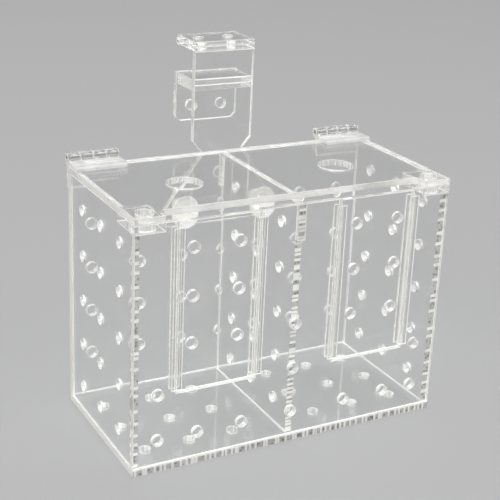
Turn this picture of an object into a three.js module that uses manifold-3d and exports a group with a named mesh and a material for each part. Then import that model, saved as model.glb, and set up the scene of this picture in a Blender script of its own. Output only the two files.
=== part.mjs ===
// Hang-on fish breeding box of clear acrylic sheet, 200 x 100 x 152 mm, with its rim hanger behind.
// Millimetres, +Z up, -Y is the front with the two lift doors, +X is to the right.
// The origin is the middle of the underside of the base.
import * as THREE from 'three';
import { mergeVertices } from 'three/addons/utils/BufferGeometryUtils.js';
import Module from 'manifold-3d';

const wasm = await Module();
wasm.setup();

// Driving sizes of the box
const BOX_WIDTH = 200;
const BOX_DEPTH = 100;
const WALL_TOP = 148;
const SHEET = 4;
const FIT = 0.25;
const OVERRUN = 1;

// Water holes, in a square pattern of 28 mm, laid out between insets from the edges of the panels
const HOLE_RADIUS = 3.15;
const END_COLUMN_INSET = 16;
const SIDE_COLUMN_INSET = 22;
const SIDE_FIRST_ROW = 19.5;
const SIDE_LAST_ROW_BELOW = 16.5;
const BACK_FIRST_ROW = 31.5;
const BACK_LAST_ROW_BELOW = 32.5;
const SIDE_ROWS = 5;
const SIDE_COLUMNS = 3;
const BACK_ROWS = 4;
const BACK_COLUMNS = 7;

// Front panel: outer and middle columns of single holes, and a low pair under each door
const FRONT_EDGE_COLUMN = 15;
const FRONT_EDGE_ROWS = 2;
const FRONT_MIDDLE_ROWS = 3;
const LOW_PAIR_INWARD = 3.5;
const LOW_PAIR_OUTWARD = 0.5;

// Lift doors, in the plane of the front panel, held by a thin strip on each face of it
const DOORWAY_MARGIN = 25.25;
const DOOR_HEIGHT = 100;
const DOOR_BELOW_RIM = 0.75;
const DOOR_THICKNESS = 3.5;
const DOOR_ROWS = 3;
const DOOR_COLUMNS = 2;
const DOOR_COLUMN_INSET = 10.75;
const DOOR_HOLES_OUTWARD = 1.25;
const DOOR_FIRST_ROW_ABOVE = 28.25;
const DOOR_LAST_ROW_BELOW = 15.75;
const RAIL_WIDTH = 6.3;
const RAIL_THICKNESS = 1.5;
const RAIL_ABOVE_SILL = 2.25;
const RAIL_SHORT_OF_DOOR = 5;

// Middle divider, whose ears drop into slots in the front and back panels
const EAR_HEIGHT = 21;
const EAR_CORNER = 1.5;

// Corner blocks under the lid's two front tabs
const BLOCK_WIDTH = 17.5;
const BLOCK_DEPTH = 24;
const BLOCK_HEIGHT = 5;
const BLOCK_HOLE_RADIUS = 4.8;
const BLOCK_HOLE_INSET = 9.25;

// Lid
const RECESS_DEPTH = 9;
const RECESS_CORNER = 4;
const FEED_HOLE_RADIUS = 10.3;
const FEED_HOLE_FORWARD = 2.5;

// Butt hinges at the back of the lid
const HINGE_LENGTH = 32;
const HINGE_LEAF_DEPTH = 14;
const HINGE_LEAF_THICKNESS = 2.5;
const HINGE_KNUCKLES = 4;
const HINGE_BARREL_RADIUS = 3;
const HINGE_BORE_RADIUS = 1.25;
const HINGE_PIN_RADIUS = 1;
const HINGE_AXIS_BEHIND = 3;
const HINGE_AXIS_ABOVE = 4;
const HINGE_LEAF_EDGE = 0.75;

// Hanger: an upright on the back panel, a doubled flange, a doubled shelf and a clamp plate
const HEAD_WIDTH = 40;
const HEAD_HEIGHT = 55.2;
const HEAD_ABOVE_LID = 6.5;
const NECK_WIDTH = 29;
const NECK_BELOW_RIM = 1.5;
const FOOT_BESIDE_CUP = 11;
const FOOT_BELOW_CUP = 9.5;
const FOOT_HEIGHT = 7;
const HANG_HOLE_ACROSS = -2;
const HANG_HOLE_BELOW_RIM = 13;
const FLANGE_LAYER = 3;
const FLANGE_DEPTH = 27;
const SHELF_LAYER = 3.65;
const SHELF_BELOW_FLANGE = 17.1;
const SHELF_DEPTH = 20.5;
const CLAMP_WIDTH = 41.5;
const CLAMP_BELOW_SHELF = 24.1;
const CLAMP_CORNER = 3;
const SCREW_HOLE_SPACING = 20;
const SCREW_HOLE_RADIUS = 3;
const FLANGE_HOLE_ACROSS = -1.5;
const CLAMP_HOLE_ACROSS = 0;
const FLANGE_HOLE_BACK = 14.5;
const CLAMP_HOLE_UP = 9.8;

// Silicone suction cups, pushed through the back panel and the foot of the hanger
const CUP_RADIUS = 9;
const CUP_REACH = 4.5;
const CUP_LIP = 0.8;
const CUP_WALL = 1.6;
const CUP_NECK_RADIUS = 2.85;
const CUP_HEAD_RADIUS = 4.6;
const CUP_HEAD_LENGTH = 4;

// Facets round each kind of curve
const HOLE_FACETS = 8;
const BARREL_FACETS = 24;
const CUP_FACETS = 32;

// Places that follow from the sizes
const LEFT = -BOX_WIDTH / 2;
const RIGHT = BOX_WIDTH / 2;
const FRONT = -BOX_DEPTH / 2;
const BACK = BOX_DEPTH / 2;
const LID_TOP = WALL_TOP + SHEET;
const DIVIDER_HALF = SHEET / 2;
const EAR_BOTTOM = WALL_TOP - EAR_HEIGHT;
const BLOCK_BOTTOM = WALL_TOP - BLOCK_HEIGHT;

// Middle of each half of the box, where the doorways and the feed holes are
const HALF_CENTRE = BOX_WIDTH / 4;
const DOORWAY_WIDTH = BOX_WIDTH / 2 - 2 * DOORWAY_MARGIN;
const DOOR_BOTTOM = WALL_TOP - DOOR_BELOW_RIM - DOOR_HEIGHT;
const DOORWAY_SILL = DOOR_BOTTOM - FIT;
const RAIL_BOTTOM = DOORWAY_SILL + RAIL_ABOVE_SILL;
const RAIL_LENGTH = DOOR_HEIGHT - RAIL_SHORT_OF_DOOR;

// Columns and rows of the water holes
const COLUMNS_ACROSS = between(LEFT + END_COLUMN_INSET, RIGHT - END_COLUMN_INSET, BACK_COLUMNS);
const COLUMNS_DEEP = between(FRONT + SIDE_COLUMN_INSET, BACK - SIDE_COLUMN_INSET, SIDE_COLUMNS);
const SIDE_HEIGHTS = between(SIDE_FIRST_ROW, WALL_TOP - SIDE_LAST_ROW_BELOW, SIDE_ROWS);
const BACK_HEIGHTS = between(BACK_FIRST_ROW, WALL_TOP - BACK_LAST_ROW_BELOW, BACK_ROWS);
const DOOR_LAST_ROW = DOOR_BOTTOM + DOOR_HEIGHT - DOOR_LAST_ROW_BELOW;
const DOOR_HEIGHTS = between(DOOR_BOTTOM + DOOR_FIRST_ROW_ABOVE, DOOR_LAST_ROW, DOOR_ROWS);
const DOOR_COLUMN_REACH = DOORWAY_WIDTH / 2 - DOOR_COLUMN_INSET;

// Cups sit in the back panel's top row of holes, in the columns next to the middle one
const CUP_ACROSS = COLUMNS_ACROSS[(BACK_COLUMNS + 1) / 2];
const CUP_HEIGHT = BACK_HEIGHTS[BACK_ROWS - 1];

const HANGER_BACK = BACK + SHEET;
const FOOT_HALF = CUP_ACROSS + FOOT_BESIDE_CUP;
const FOOT_BOTTOM = CUP_HEIGHT - FOOT_BELOW_CUP;
const FOOT_TOP = FOOT_BOTTOM + FOOT_HEIGHT;
const NECK_BOTTOM = WALL_TOP - NECK_BELOW_RIM;
const HEAD_BOTTOM = LID_TOP + HEAD_ABOVE_LID;
const HEAD_TOP = HEAD_BOTTOM + HEAD_HEIGHT;
const SHELF_TOP = HEAD_TOP - SHELF_BELOW_FLANGE;
const SHELF_BOTTOM = SHELF_TOP - 2 * SHELF_LAYER;
const CLAMP_BOTTOM = SHELF_BOTTOM - CLAMP_BELOW_SHELF;
const CLAMP_FRONT = HANGER_BACK + SHELF_DEPTH;
const HINGE_AXIS_Y = BACK + HINGE_AXIS_BEHIND;
const HINGE_AXIS_Z = LID_TOP + HINGE_AXIS_ABOVE;

// Materials
function acrylic(name) {
  const material = new THREE.MeshStandardMaterial({ color: 0xeef4f3, roughness: 0.06, metalness: 0 });
  material.name = name;
  material.transparent = true;
  material.opacity = 0.35;
  return material;
}
const sheetMaterial = acrylic('clear_acrylic');
const railMaterial = acrylic('clear_rail');
const hingeMaterial = acrylic('clear_hinge');
const pinMaterial = new THREE.MeshStandardMaterial({ color: 0x8f9295, roughness: 0.3, metalness: 1 });
const cupMaterial = new THREE.MeshStandardMaterial({ color: 0xf1ece6, roughness: 0.45, metalness: 0 });

// Outlines and holes
function outline(points) {
  return new THREE.Shape(points.map(([across, up]) => new THREE.Vector2(across, up)));
}

function rectangle(left, bottom, right, top) {
  return outline([[left, bottom], [right, bottom], [right, top], [left, top]]);
}

function drill(shape, across, up, radius = HOLE_RADIUS) {
  const hole = new THREE.Path();
  hole.absarc(across, up, radius, 0, 2 * Math.PI, true);
  shape.holes.push(hole);
}

// Places spread evenly from the first to the last
function between(first, last, count) {
  return Array.from({ length: count }, (_, i) => first + (i * (last - first)) / (count - 1));
}

function drillGrid(shape, columns, heights, radius = HOLE_RADIUS) {
  for (const across of columns) {
    for (const up of heights) {
      drill(shape, across, up, radius);
    }
  }
}

// Flat pieces, cut from sheet: an outline with holes, pushed out to a thickness
function cutSheet(shape, thickness) {
  const options = { depth: thickness, bevelEnabled: false, curveSegments: HOLE_FACETS };
  return new THREE.ExtrudeGeometry(shape, options);
}

// Lies flat: outline in X and Y, from its underside upward
function flatPiece(name, shape, thickness, bottom, material = sheetMaterial) {
  const mesh = new THREE.Mesh(cutSheet(shape, thickness), material);
  mesh.name = name;
  mesh.position.z = bottom;
  return mesh;
}

// Faces the front: outline in X and Z, from its front face backward
function facingPiece(name, shape, thickness, front, material = sheetMaterial) {
  const mesh = new THREE.Mesh(cutSheet(shape, thickness), material);
  mesh.name = name;
  mesh.rotation.x = Math.PI / 2;
  mesh.position.y = front + thickness;
  return mesh;
}

// Stands fore and aft: outline in Y and Z, from its left face to the right
function crossPiece(name, shape, thickness, left, material = sheetMaterial) {
  const mesh = new THREE.Mesh(cutSheet(shape, thickness), material);
  mesh.name = name;
  mesh.rotation.set(Math.PI / 2, Math.PI / 2, 0);
  mesh.position.x = left;
  return mesh;
}

// Joining and cutting
function solidOf(geometry) {
  const bare = geometry.clone();
  bare.deleteAttribute('normal');
  bare.deleteAttribute('uv');
  const joined = mergeVertices(bare);
  const vertProperties = new Float32Array(joined.attributes.position.array);
  const triVerts = new Uint32Array(joined.index.array);
  return new wasm.Manifold(new wasm.Mesh({ numProp: 3, vertProperties, triVerts }));
}

function geometryOf(solid) {
  const mesh = solid.getMesh();
  const geometry = new THREE.BufferGeometry();
  geometry.setAttribute('position', new THREE.BufferAttribute(new Float32Array(mesh.vertProperties), 3));
  geometry.setIndex(new THREE.BufferAttribute(new Uint32Array(mesh.triVerts), 1));
  geometry.computeVertexNormals();
  return geometry;
}

// A profile in Y and Z, pushed out along X between two places
function alongX(shape, from, to) {
  const geometry = new THREE.ExtrudeGeometry(shape, { depth: to - from, bevelEnabled: false });
  geometry.rotateY(Math.PI / 2);
  geometry.rotateX(Math.PI / 2);
  geometry.translate(from, 0, 0);
  return solidOf(geometry);
}

function rodAlongX(radius, from, to, y, z, facets = BARREL_FACETS) {
  const geometry = new THREE.CylinderGeometry(radius, radius, to - from, facets);
  geometry.rotateZ(Math.PI / 2);
  geometry.translate((from + to) / 2, y, z);
  return geometry;
}

// Base and walls: the front and back panels run the full width, with the side panels between them
function basePanel() {
  const shape = rectangle(LEFT, FRONT, RIGHT, BACK);
  const columns = COLUMNS_ACROSS.filter((across) => Math.abs(across) > DIVIDER_HALF);
  drillGrid(shape, columns, COLUMNS_DEEP);
  return flatPiece('bottom_panel', shape, SHEET, 0);
}

function sidePanel(name, left) {
  const shape = outline([
    [FRONT + SHEET, SHEET],
    [BACK - SHEET, SHEET],
    [BACK - SHEET, WALL_TOP],
    [FRONT + BLOCK_DEPTH, WALL_TOP],
    [FRONT + BLOCK_DEPTH, BLOCK_BOTTOM],
    [FRONT + SHEET, BLOCK_BOTTOM],
  ]);
  drillGrid(shape, COLUMNS_DEEP, SIDE_HEIGHTS);
  return crossPiece(name, shape, SHEET, left);
}

// Half of the front panel's top edge, from its end to the middle slot, on the side of the sign
function frontTopEdge(side) {
  const jambOut = side * (HALF_CENTRE + DOORWAY_WIDTH / 2);
  const jambIn = side * (HALF_CENTRE - DOORWAY_WIDTH / 2);
  const slot = side * (DIVIDER_HALF + FIT);
  return [
    [side * RIGHT, BLOCK_BOTTOM],
    [side * (RIGHT - BLOCK_WIDTH), BLOCK_BOTTOM],
    [side * (RIGHT - BLOCK_WIDTH), WALL_TOP],
    [jambOut, WALL_TOP],
    [jambOut, DOORWAY_SILL],
    [jambIn, DOORWAY_SILL],
    [jambIn, WALL_TOP],
    [slot, WALL_TOP],
    [slot, EAR_BOTTOM - FIT],
  ];
}

function frontPanel() {
  const shape = outline([
    [LEFT, SHEET],
    [RIGHT, SHEET],
    ...frontTopEdge(1),
    ...frontTopEdge(-1).reverse(),
  ]);
  const edge = RIGHT - FRONT_EDGE_COLUMN;
  drillGrid(shape, [-edge, edge], SIDE_HEIGHTS.slice(0, FRONT_EDGE_ROWS));
  drillGrid(shape, [0], SIDE_HEIGHTS.slice(0, FRONT_MIDDLE_ROWS));
  for (const centre of [LOW_PAIR_INWARD - HALF_CENTRE, HALF_CENTRE + LOW_PAIR_OUTWARD]) {
    const pair = [centre - DOOR_COLUMN_REACH, centre + DOOR_COLUMN_REACH];
    drillGrid(shape, pair, [SIDE_FIRST_ROW]);
  }
  return facingPiece('front_panel', shape, SHEET, FRONT);
}

function backPanel() {
  const slot = DIVIDER_HALF + FIT;
  const shape = outline([
    [LEFT, SHEET],
    [RIGHT, SHEET],
    [RIGHT, WALL_TOP],
    [slot, WALL_TOP],
    [slot, EAR_BOTTOM - FIT],
    [-slot, EAR_BOTTOM - FIT],
    [-slot, WALL_TOP],
    [LEFT, WALL_TOP],
  ]);
  drillGrid(shape, COLUMNS_ACROSS, BACK_HEIGHTS);
  return facingPiece('back_panel', shape, SHEET, BACK - SHEET);
}

// Divider: its ears reach the outer faces of the front and back panels, with small round lower corners
function divider() {
  const bodyFront = FRONT + SHEET + FIT;
  const shape = new THREE.Shape();
  shape.moveTo(bodyFront, SHEET);
  shape.lineTo(-bodyFront, SHEET);
  shape.lineTo(-bodyFront, EAR_BOTTOM);
  shape.lineTo(BACK - EAR_CORNER, EAR_BOTTOM);
  shape.absarc(BACK - EAR_CORNER, EAR_BOTTOM + EAR_CORNER, EAR_CORNER, -Math.PI / 2, 0, false);
  shape.lineTo(BACK, WALL_TOP);
  shape.lineTo(FRONT, WALL_TOP);
  shape.lineTo(FRONT, EAR_BOTTOM + EAR_CORNER);
  shape.absarc(FRONT + EAR_CORNER, EAR_BOTTOM + EAR_CORNER, EAR_CORNER, Math.PI, 1.5 * Math.PI, false);
  shape.lineTo(bodyFront, EAR_BOTTOM);
  drillGrid(shape, COLUMNS_DEEP, SIDE_HEIGHTS);
  return crossPiece('divider', shape, SHEET, -DIVIDER_HALF);
}

function cornerBlock(name, side) {
  const outer = side * RIGHT;
  const inner = side * (RIGHT - BLOCK_WIDTH);
  const left = Math.min(outer, inner);
  const right = Math.max(outer, inner);
  const shape = rectangle(left, FRONT, right, FRONT + BLOCK_DEPTH);
  drill(shape, side * (RIGHT - BLOCK_HOLE_INSET), FRONT + BLOCK_HOLE_INSET, BLOCK_HOLE_RADIUS);
  return flatPiece(name, shape, BLOCK_HEIGHT, BLOCK_BOTTOM);
}

// Doors and their rails
function door(name, side) {
  const centre = side * HALF_CENTRE;
  const half = DOORWAY_WIDTH / 2 - FIT;
  const shape = rectangle(centre - half, DOOR_BOTTOM, centre + half, DOOR_BOTTOM + DOOR_HEIGHT);
  const middle = centre + side * DOOR_HOLES_OUTWARD;
  const columns = between(middle - DOOR_COLUMN_REACH, middle + DOOR_COLUMN_REACH, DOOR_COLUMNS);
  drillGrid(shape, columns, DOOR_HEIGHTS);
  return facingPiece(name, shape, DOOR_THICKNESS, FRONT + (SHEET - DOOR_THICKNESS) / 2);
}

function rail(name, jamb, front) {
  const half = RAIL_WIDTH / 2;
  const shape = rectangle(jamb - half, RAIL_BOTTOM, jamb + half, RAIL_BOTTOM + RAIL_LENGTH);
  return facingPiece(name, shape, RAIL_THICKNESS, front, railMaterial);
}

function doorRails() {
  const pieces = [];
  for (const [door, centre] of [['left', -HALF_CENTRE], ['right', HALF_CENTRE]]) {
    for (const [edge, side] of [['a', -1], ['b', 1]]) {
      const jamb = centre + side * DOORWAY_WIDTH / 2;
      pieces.push(rail(`${door}_door_outer_rail_${edge}`, jamb, FRONT - RAIL_THICKNESS));
      pieces.push(rail(`${door}_door_inner_rail_${edge}`, jamb, FRONT + SHEET));
    }
  }
  return pieces;
}

// Lid: a slab over the whole box, cut back between its two front tabs for fingers and doors
function lidPanel() {
  const tab = RIGHT - BLOCK_WIDTH;
  const step = FRONT + RECESS_DEPTH;
  const rear = BACK - FIT;
  const shape = new THREE.Shape();
  shape.moveTo(LEFT, FRONT);
  shape.lineTo(-tab, FRONT);
  shape.lineTo(-tab, step - RECESS_CORNER);
  shape.absarc(-tab + RECESS_CORNER, step - RECESS_CORNER, RECESS_CORNER, Math.PI, Math.PI / 2, true);
  shape.lineTo(tab - RECESS_CORNER, step);
  shape.absarc(tab - RECESS_CORNER, step - RECESS_CORNER, RECESS_CORNER, Math.PI / 2, 0, true);
  shape.lineTo(tab, FRONT);
  shape.lineTo(RIGHT, FRONT);
  shape.lineTo(RIGHT, rear);
  shape.lineTo(LEFT, rear);
  for (const side of [-1, 1]) {
    drill(shape, side * HALF_CENTRE, -FEED_HOLE_FORWARD, FEED_HOLE_RADIUS);
    drill(shape, side * (RIGHT - BLOCK_HOLE_INSET), FRONT + BLOCK_HOLE_INSET, BLOCK_HOLE_RADIUS);
  }
  return flatPiece('lid_panel', shape, SHEET, WALL_TOP);
}

// Hinges: each leaf is a plate with every other knuckle, bored for the pin
const KNUCKLE = HINGE_LENGTH / HINGE_KNUCKLES;

function knuckleSpan(from, index) {
  return [from + index * KNUCKLE + FIT / 2, from + (index + 1) * KNUCKLE - FIT / 2];
}

function withKnuckles(plate, root, from, first) {
  let leaf = plate;
  for (let index = first; index < HINGE_KNUCKLES; index += 2) {
    const [start, end] = knuckleSpan(from, index);
    const barrel = rodAlongX(HINGE_BARREL_RADIUS, start, end, HINGE_AXIS_Y, HINGE_AXIS_Z);
    leaf = leaf.add(alongX(root, start, end)).add(solidOf(barrel));
  }
  const boreStart = from - OVERRUN;
  const boreEnd = from + HINGE_LENGTH + OVERRUN;
  const bore = rodAlongX(HINGE_BORE_RADIUS, boreStart, boreEnd, HINGE_AXIS_Y, HINGE_AXIS_Z);
  return geometryOf(leaf.subtract(solidOf(bore)));
}

function lidLeaf(name, from) {
  const front = BACK - HINGE_LEAF_DEPTH;
  const rear = BACK - FIT;
  const top = LID_TOP + HINGE_LEAF_THICKNESS;
  const plate = alongX(outline([
    [front, LID_TOP],
    [rear, LID_TOP],
    [rear, top],
    [front + HINGE_LEAF_EDGE, top],
    [front, top - HINGE_LEAF_EDGE],
  ]), from, from + HINGE_LENGTH);
  const root = outline([
    [rear - HINGE_LEAF_DEPTH / 2, top],
    [rear - FIT, LID_TOP + FIT],
    [HINGE_AXIS_Y, HINGE_AXIS_Z - HINGE_BARREL_RADIUS / 2],
    [HINGE_AXIS_Y, HINGE_AXIS_Z + HINGE_BARREL_RADIUS / 2],
    [HINGE_AXIS_Y - HINGE_BARREL_RADIUS / 2, HINGE_AXIS_Z + HINGE_BARREL_RADIUS / 2],
  ]);
  const mesh = new THREE.Mesh(withKnuckles(plate, root, from, 1), hingeMaterial);
  mesh.name = name;
  return mesh;
}

function backLeaf(name, from) {
  const top = LID_TOP - FIT;
  const bottom = LID_TOP - HINGE_LEAF_DEPTH;
  const rear = BACK + HINGE_LEAF_THICKNESS;
  const plate = alongX(outline([
    [BACK, bottom],
    [rear - HINGE_LEAF_EDGE, bottom],
    [rear, bottom + HINGE_LEAF_EDGE],
    [rear, top],
    [BACK, top],
  ]), from, from + HINGE_LENGTH);
  const root = outline([
    [BACK + FIT, top - FIT],
    [rear, top - FIT],
    [HINGE_AXIS_Y + HINGE_BARREL_RADIUS / 2, HINGE_AXIS_Z],
    [BACK + 2 * FIT, HINGE_AXIS_Z],
  ]);
  const mesh = new THREE.Mesh(withKnuckles(plate, root, from, 0), hingeMaterial);
  mesh.name = name;
  return mesh;
}

function hingePin(name, from) {
  const geometry = rodAlongX(HINGE_PIN_RADIUS, from, from + HINGE_LENGTH, HINGE_AXIS_Y, HINGE_AXIS_Z);
  const mesh = new THREE.Mesh(geometry, pinMaterial);
  mesh.name = name;
  return mesh;
}

// Hanger: the half outline runs up the right edge from the foot to the top of the head
const FLARE_SHARES = [[0.1, 0.13], [0.4, 0.44], [0.85, 0.86]];

function hangerPlate() {
  const neckHalf = NECK_WIDTH / 2;
  const headHalf = HEAD_WIDTH / 2;
  const flare = FLARE_SHARES.map(([widthShare, heightShare]) => [
    FOOT_HALF - widthShare * (FOOT_HALF - neckHalf),
    FOOT_TOP + heightShare * (NECK_BOTTOM - FOOT_TOP),
  ]);
  const edge = [
    [FOOT_HALF, FOOT_BOTTOM],
    [FOOT_HALF, FOOT_TOP],
    ...flare,
    [neckHalf, NECK_BOTTOM],
    [neckHalf, LID_TOP],
    [headHalf, HEAD_BOTTOM],
    [headHalf, HEAD_TOP],
  ];
  const mirrored = edge.map(([across, up]) => [-across, up]).reverse();
  const shape = outline([...edge, ...mirrored]);
  drillGrid(shape, [-CUP_ACROSS, CUP_ACROSS], [CUP_HEIGHT]);
  drill(shape, HANG_HOLE_ACROSS, WALL_TOP - HANG_HOLE_BELOW_RIM);
  return facingPiece('hanger_plate', shape, SHEET, BACK);
}

function drillScrewHoles(shape, across, up) {
  const reach = SCREW_HOLE_SPACING / 2;
  drillGrid(shape, [across - reach, across + reach], [up], SCREW_HOLE_RADIUS);
}

function flangeLayer(name, bottom) {
  const shape = rectangle(-HEAD_WIDTH / 2, BACK, HEAD_WIDTH / 2, BACK + FLANGE_DEPTH);
  drillScrewHoles(shape, FLANGE_HOLE_ACROSS, BACK + FLANGE_HOLE_BACK);
  return flatPiece(name, shape, FLANGE_LAYER, bottom);
}

function shelfLayer(name, bottom) {
  const shape = rectangle(-HEAD_WIDTH / 2, HANGER_BACK, HEAD_WIDTH / 2, CLAMP_FRONT);
  return flatPiece(name, shape, SHELF_LAYER, bottom);
}

function clampPlate() {
  const half = CLAMP_WIDTH / 2;
  const shape = outline([
    [-half, CLAMP_BOTTOM + CLAMP_CORNER],
    [-half + CLAMP_CORNER, CLAMP_BOTTOM],
    [half - CLAMP_CORNER, CLAMP_BOTTOM],
    [half, CLAMP_BOTTOM + CLAMP_CORNER],
    [half, SHELF_TOP],
    [-half, SHELF_TOP],
  ]);
  drillScrewHoles(shape, CLAMP_HOLE_ACROSS, CLAMP_BOTTOM + CLAMP_HOLE_UP);
  return facingPiece('hanger_clamp_plate', shape, SHEET, CLAMP_FRONT);
}

// Suction cup: a lathe profile of radius and distance back from the cup's lip
function suctionCup(name, across) {
  const panelFace = CUP_REACH;
  const headStart = panelFace + 2 * SHEET + FIT;
  const headEnd = headStart + CUP_HEAD_LENGTH;
  const profile = [
    [0, CUP_WALL],
    [CUP_NECK_RADIUS, CUP_WALL],
    [CUP_RADIUS - CUP_LIP, 0],
    [CUP_RADIUS, 0],
    [CUP_RADIUS - CUP_LIP / 2, CUP_LIP],
    [CUP_RADIUS / 2, panelFace - CUP_LIP],
    [CUP_NECK_RADIUS + CUP_LIP, panelFace - FIT],
    [CUP_NECK_RADIUS, panelFace - FIT],
    [CUP_NECK_RADIUS, headStart],
    [CUP_HEAD_RADIUS, headStart],
    [CUP_HEAD_RADIUS, headStart + CUP_LIP],
    [CUP_HEAD_RADIUS / 2, headEnd],
    [0, headEnd],
  ];
  const points = profile.map(([radius, along]) => new THREE.Vector2(radius, along));
  const mesh = new THREE.Mesh(new THREE.LatheGeometry(points, CUP_FACETS), cupMaterial);
  mesh.name = name;
  mesh.position.set(across, BACK - SHEET - CUP_REACH, CUP_HEIGHT);
  return mesh;
}

// Assembly
const tank = new THREE.Group();
tank.add(basePanel(), sidePanel('left_panel', LEFT), sidePanel('right_panel', RIGHT - SHEET));
tank.add(frontPanel(), backPanel(), divider());
tank.add(cornerBlock('corner_block_left', -1), cornerBlock('corner_block_right', 1));
tank.add(...doorRails());

const doors = new THREE.Group();
doors.add(door('door_left', -1), door('door_right', 1));

const lid = new THREE.Group();
lid.add(lidPanel());

const hinges = new THREE.Group();
for (const [side, from] of [['left', LEFT], ['right', RIGHT - HINGE_LENGTH]]) {
  lid.add(lidLeaf(`hinge_${side}_lid_leaf`, from));
  hinges.add(backLeaf(`hinge_${side}_back_leaf`, from), hingePin(`hinge_${side}_pin`, from));
}

const hanger = new THREE.Group();
hanger.add(hangerPlate(), clampPlate());
hanger.add(flangeLayer('hanger_flange_lower', HEAD_TOP));
hanger.add(flangeLayer('hanger_flange_upper', HEAD_TOP + FLANGE_LAYER));
hanger.add(shelfLayer('hanger_shelf_lower', SHELF_BOTTOM));
hanger.add(shelfLayer('hanger_shelf_upper', SHELF_TOP - SHELF_LAYER));
hanger.add(suctionCup('suction_cup_left', -CUP_ACROSS), suctionCup('suction_cup_right', CUP_ACROSS));

const breedingBox = new THREE.Group();
breedingBox.add(tank, doors, lid, hinges, hanger);

export default breedingBox;
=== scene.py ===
# Dresses a hang-on fish breeding box: clear cut sheet, moulded hinges, steel pins and silicone cups.
# Metres, +Z up, -Y is the front with the two lift doors, +X is to the right.
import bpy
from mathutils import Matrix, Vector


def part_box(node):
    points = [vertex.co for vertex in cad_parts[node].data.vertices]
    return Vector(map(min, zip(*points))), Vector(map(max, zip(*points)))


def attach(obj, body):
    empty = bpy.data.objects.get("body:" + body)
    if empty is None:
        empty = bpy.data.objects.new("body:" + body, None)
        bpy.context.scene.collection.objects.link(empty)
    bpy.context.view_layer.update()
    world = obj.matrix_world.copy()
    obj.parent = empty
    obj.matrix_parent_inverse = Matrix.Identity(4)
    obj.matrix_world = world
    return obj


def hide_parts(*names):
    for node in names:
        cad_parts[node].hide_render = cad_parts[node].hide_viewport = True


bl_info = {
    "name": "Fish breeding box",
    "version": (1, 0, 0),
    "blender": (4, 5, 0),
    "location": "3D View > Sidebar > Breeding Box",
    "description": "Clear breeding box with lift doors, a hinged lid and a rim hanger",
    "category": "Add Mesh",
}

import math

import bmesh
import bpy
from bpy.props import FloatProperty, FloatVectorProperty, IntProperty, PointerProperty
from mathutils import Matrix, Vector

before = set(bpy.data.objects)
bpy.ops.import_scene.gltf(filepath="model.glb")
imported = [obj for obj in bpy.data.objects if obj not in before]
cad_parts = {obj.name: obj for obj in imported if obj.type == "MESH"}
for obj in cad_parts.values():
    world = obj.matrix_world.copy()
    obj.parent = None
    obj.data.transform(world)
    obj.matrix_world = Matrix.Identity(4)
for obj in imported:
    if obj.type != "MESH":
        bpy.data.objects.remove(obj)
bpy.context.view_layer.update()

MM = 0.001
X, Y, Z = 0, 1, 2

# The two axes that an outline lies in, for each axis that its sheet's thickness runs along
OUTLINE_AXES = {X: (Y, Z), Y: (X, Z), Z: (X, Y)}

# Which way each sheet's thickness runs, and the body that it rides on
WALLS = {
    "bottom_panel": (Z, "box"),
    "left_panel": (X, "box"),
    "right_panel": (X, "box"),
    "front_panel": (Y, "box"),
    "back_panel": (Y, "box"),
    "divider": (X, "box"),
    "corner_block_left": (Z, "box"),
    "corner_block_right": (Z, "box"),
}
RAILS = {
    f"{door}_door_{layer}_rail_{edge}": (Y, "box")
    for door in ("left", "right")
    for layer in ("outer", "inner")
    for edge in ("a", "b")
}
DOORS = {"door_left": (Y, "left_door"), "door_right": (Y, "right_door")}
LID = {"lid_panel": (Z, "lid")}
HANGER = {
    "hanger_plate": (Y, "box"),
    "hanger_flange_lower": (Z, "box"),
    "hanger_flange_upper": (Z, "box"),
    "hanger_shelf_lower": (Z, "box"),
    "hanger_shelf_upper": (Z, "box"),
    "hanger_clamp_plate": (Y, "box"),
}
# The body that each hinge leaf rides on
LEAVES = {
    f"hinge_{side}_{leaf}": body
    for side in ("left", "right")
    for leaf, body in (("lid_leaf", "lid"), ("back_leaf", "box"))
}

# Marks on a rough edge: rungs in a metre, width of a rung, share that is chalky, strength of the rims
GLUED_MARKS = {
    "bottom_panel": (260.0, 0.17, 0.14, 0.95),
    "left_panel": (140.0, 0.12, 0.08, 0.3),
    "right_panel": (132.0, 0.11, 0.05, 0.2),
    "divider": (310.0, 0.22, 0.34, 0.3),
}
DULL_MARKS = (260.0, 0.34, 1.0, 0.8)
# Sheets whose left and right edges were left dull and white
DULL_ENDED = ("bottom_panel", "back_panel")
# Polished sheets whose left and right edges are satin
SATIN_ENDED = ("hanger_shelf_lower", "hanger_shelf_upper")
# Sheets whose edges were polished until one sees into them, where the others' edges are satin
POLISHED = (
    "corner_block_left", "corner_block_right", "hanger_flange_lower", "hanger_flange_upper",
    "hanger_shelf_lower", "hanger_shelf_upper")

# Order of the materials on a cut sheet, and on a hinge leaf
FACE, PLAIN_EDGE, END_EDGE, FRONT_EDGE, PAINTED_GLINT_CORNER, HOLE_WALL = range(6)
CLEAR_PLATE, WHITE_PLATE, BARREL, ROUNDED_EDGE = range(4)

# How squarely a small face looks along an axis, from 0 to 1: flat, nearly flat, and leaning that way
FLAT = 0.98
NEARLY_FLAT = 0.9
LEANING = 0.1

# Refractive indices, and what a lamp's light keeps behind a clear face, a cut edge and a frosted edge
ACRYLIC_INDEX = 1.49
HINGE_INDEX = 1.5
SILICONE_INDEX = 1.41
BEHIND_FACE = (0.93, 0.94, 0.94, 1.0)
BEHIND_EDGE = (0.8, 0.8, 0.8, 1.0)
BEHIND_FROST = (0.6, 0.6, 0.6, 1.0)

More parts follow.
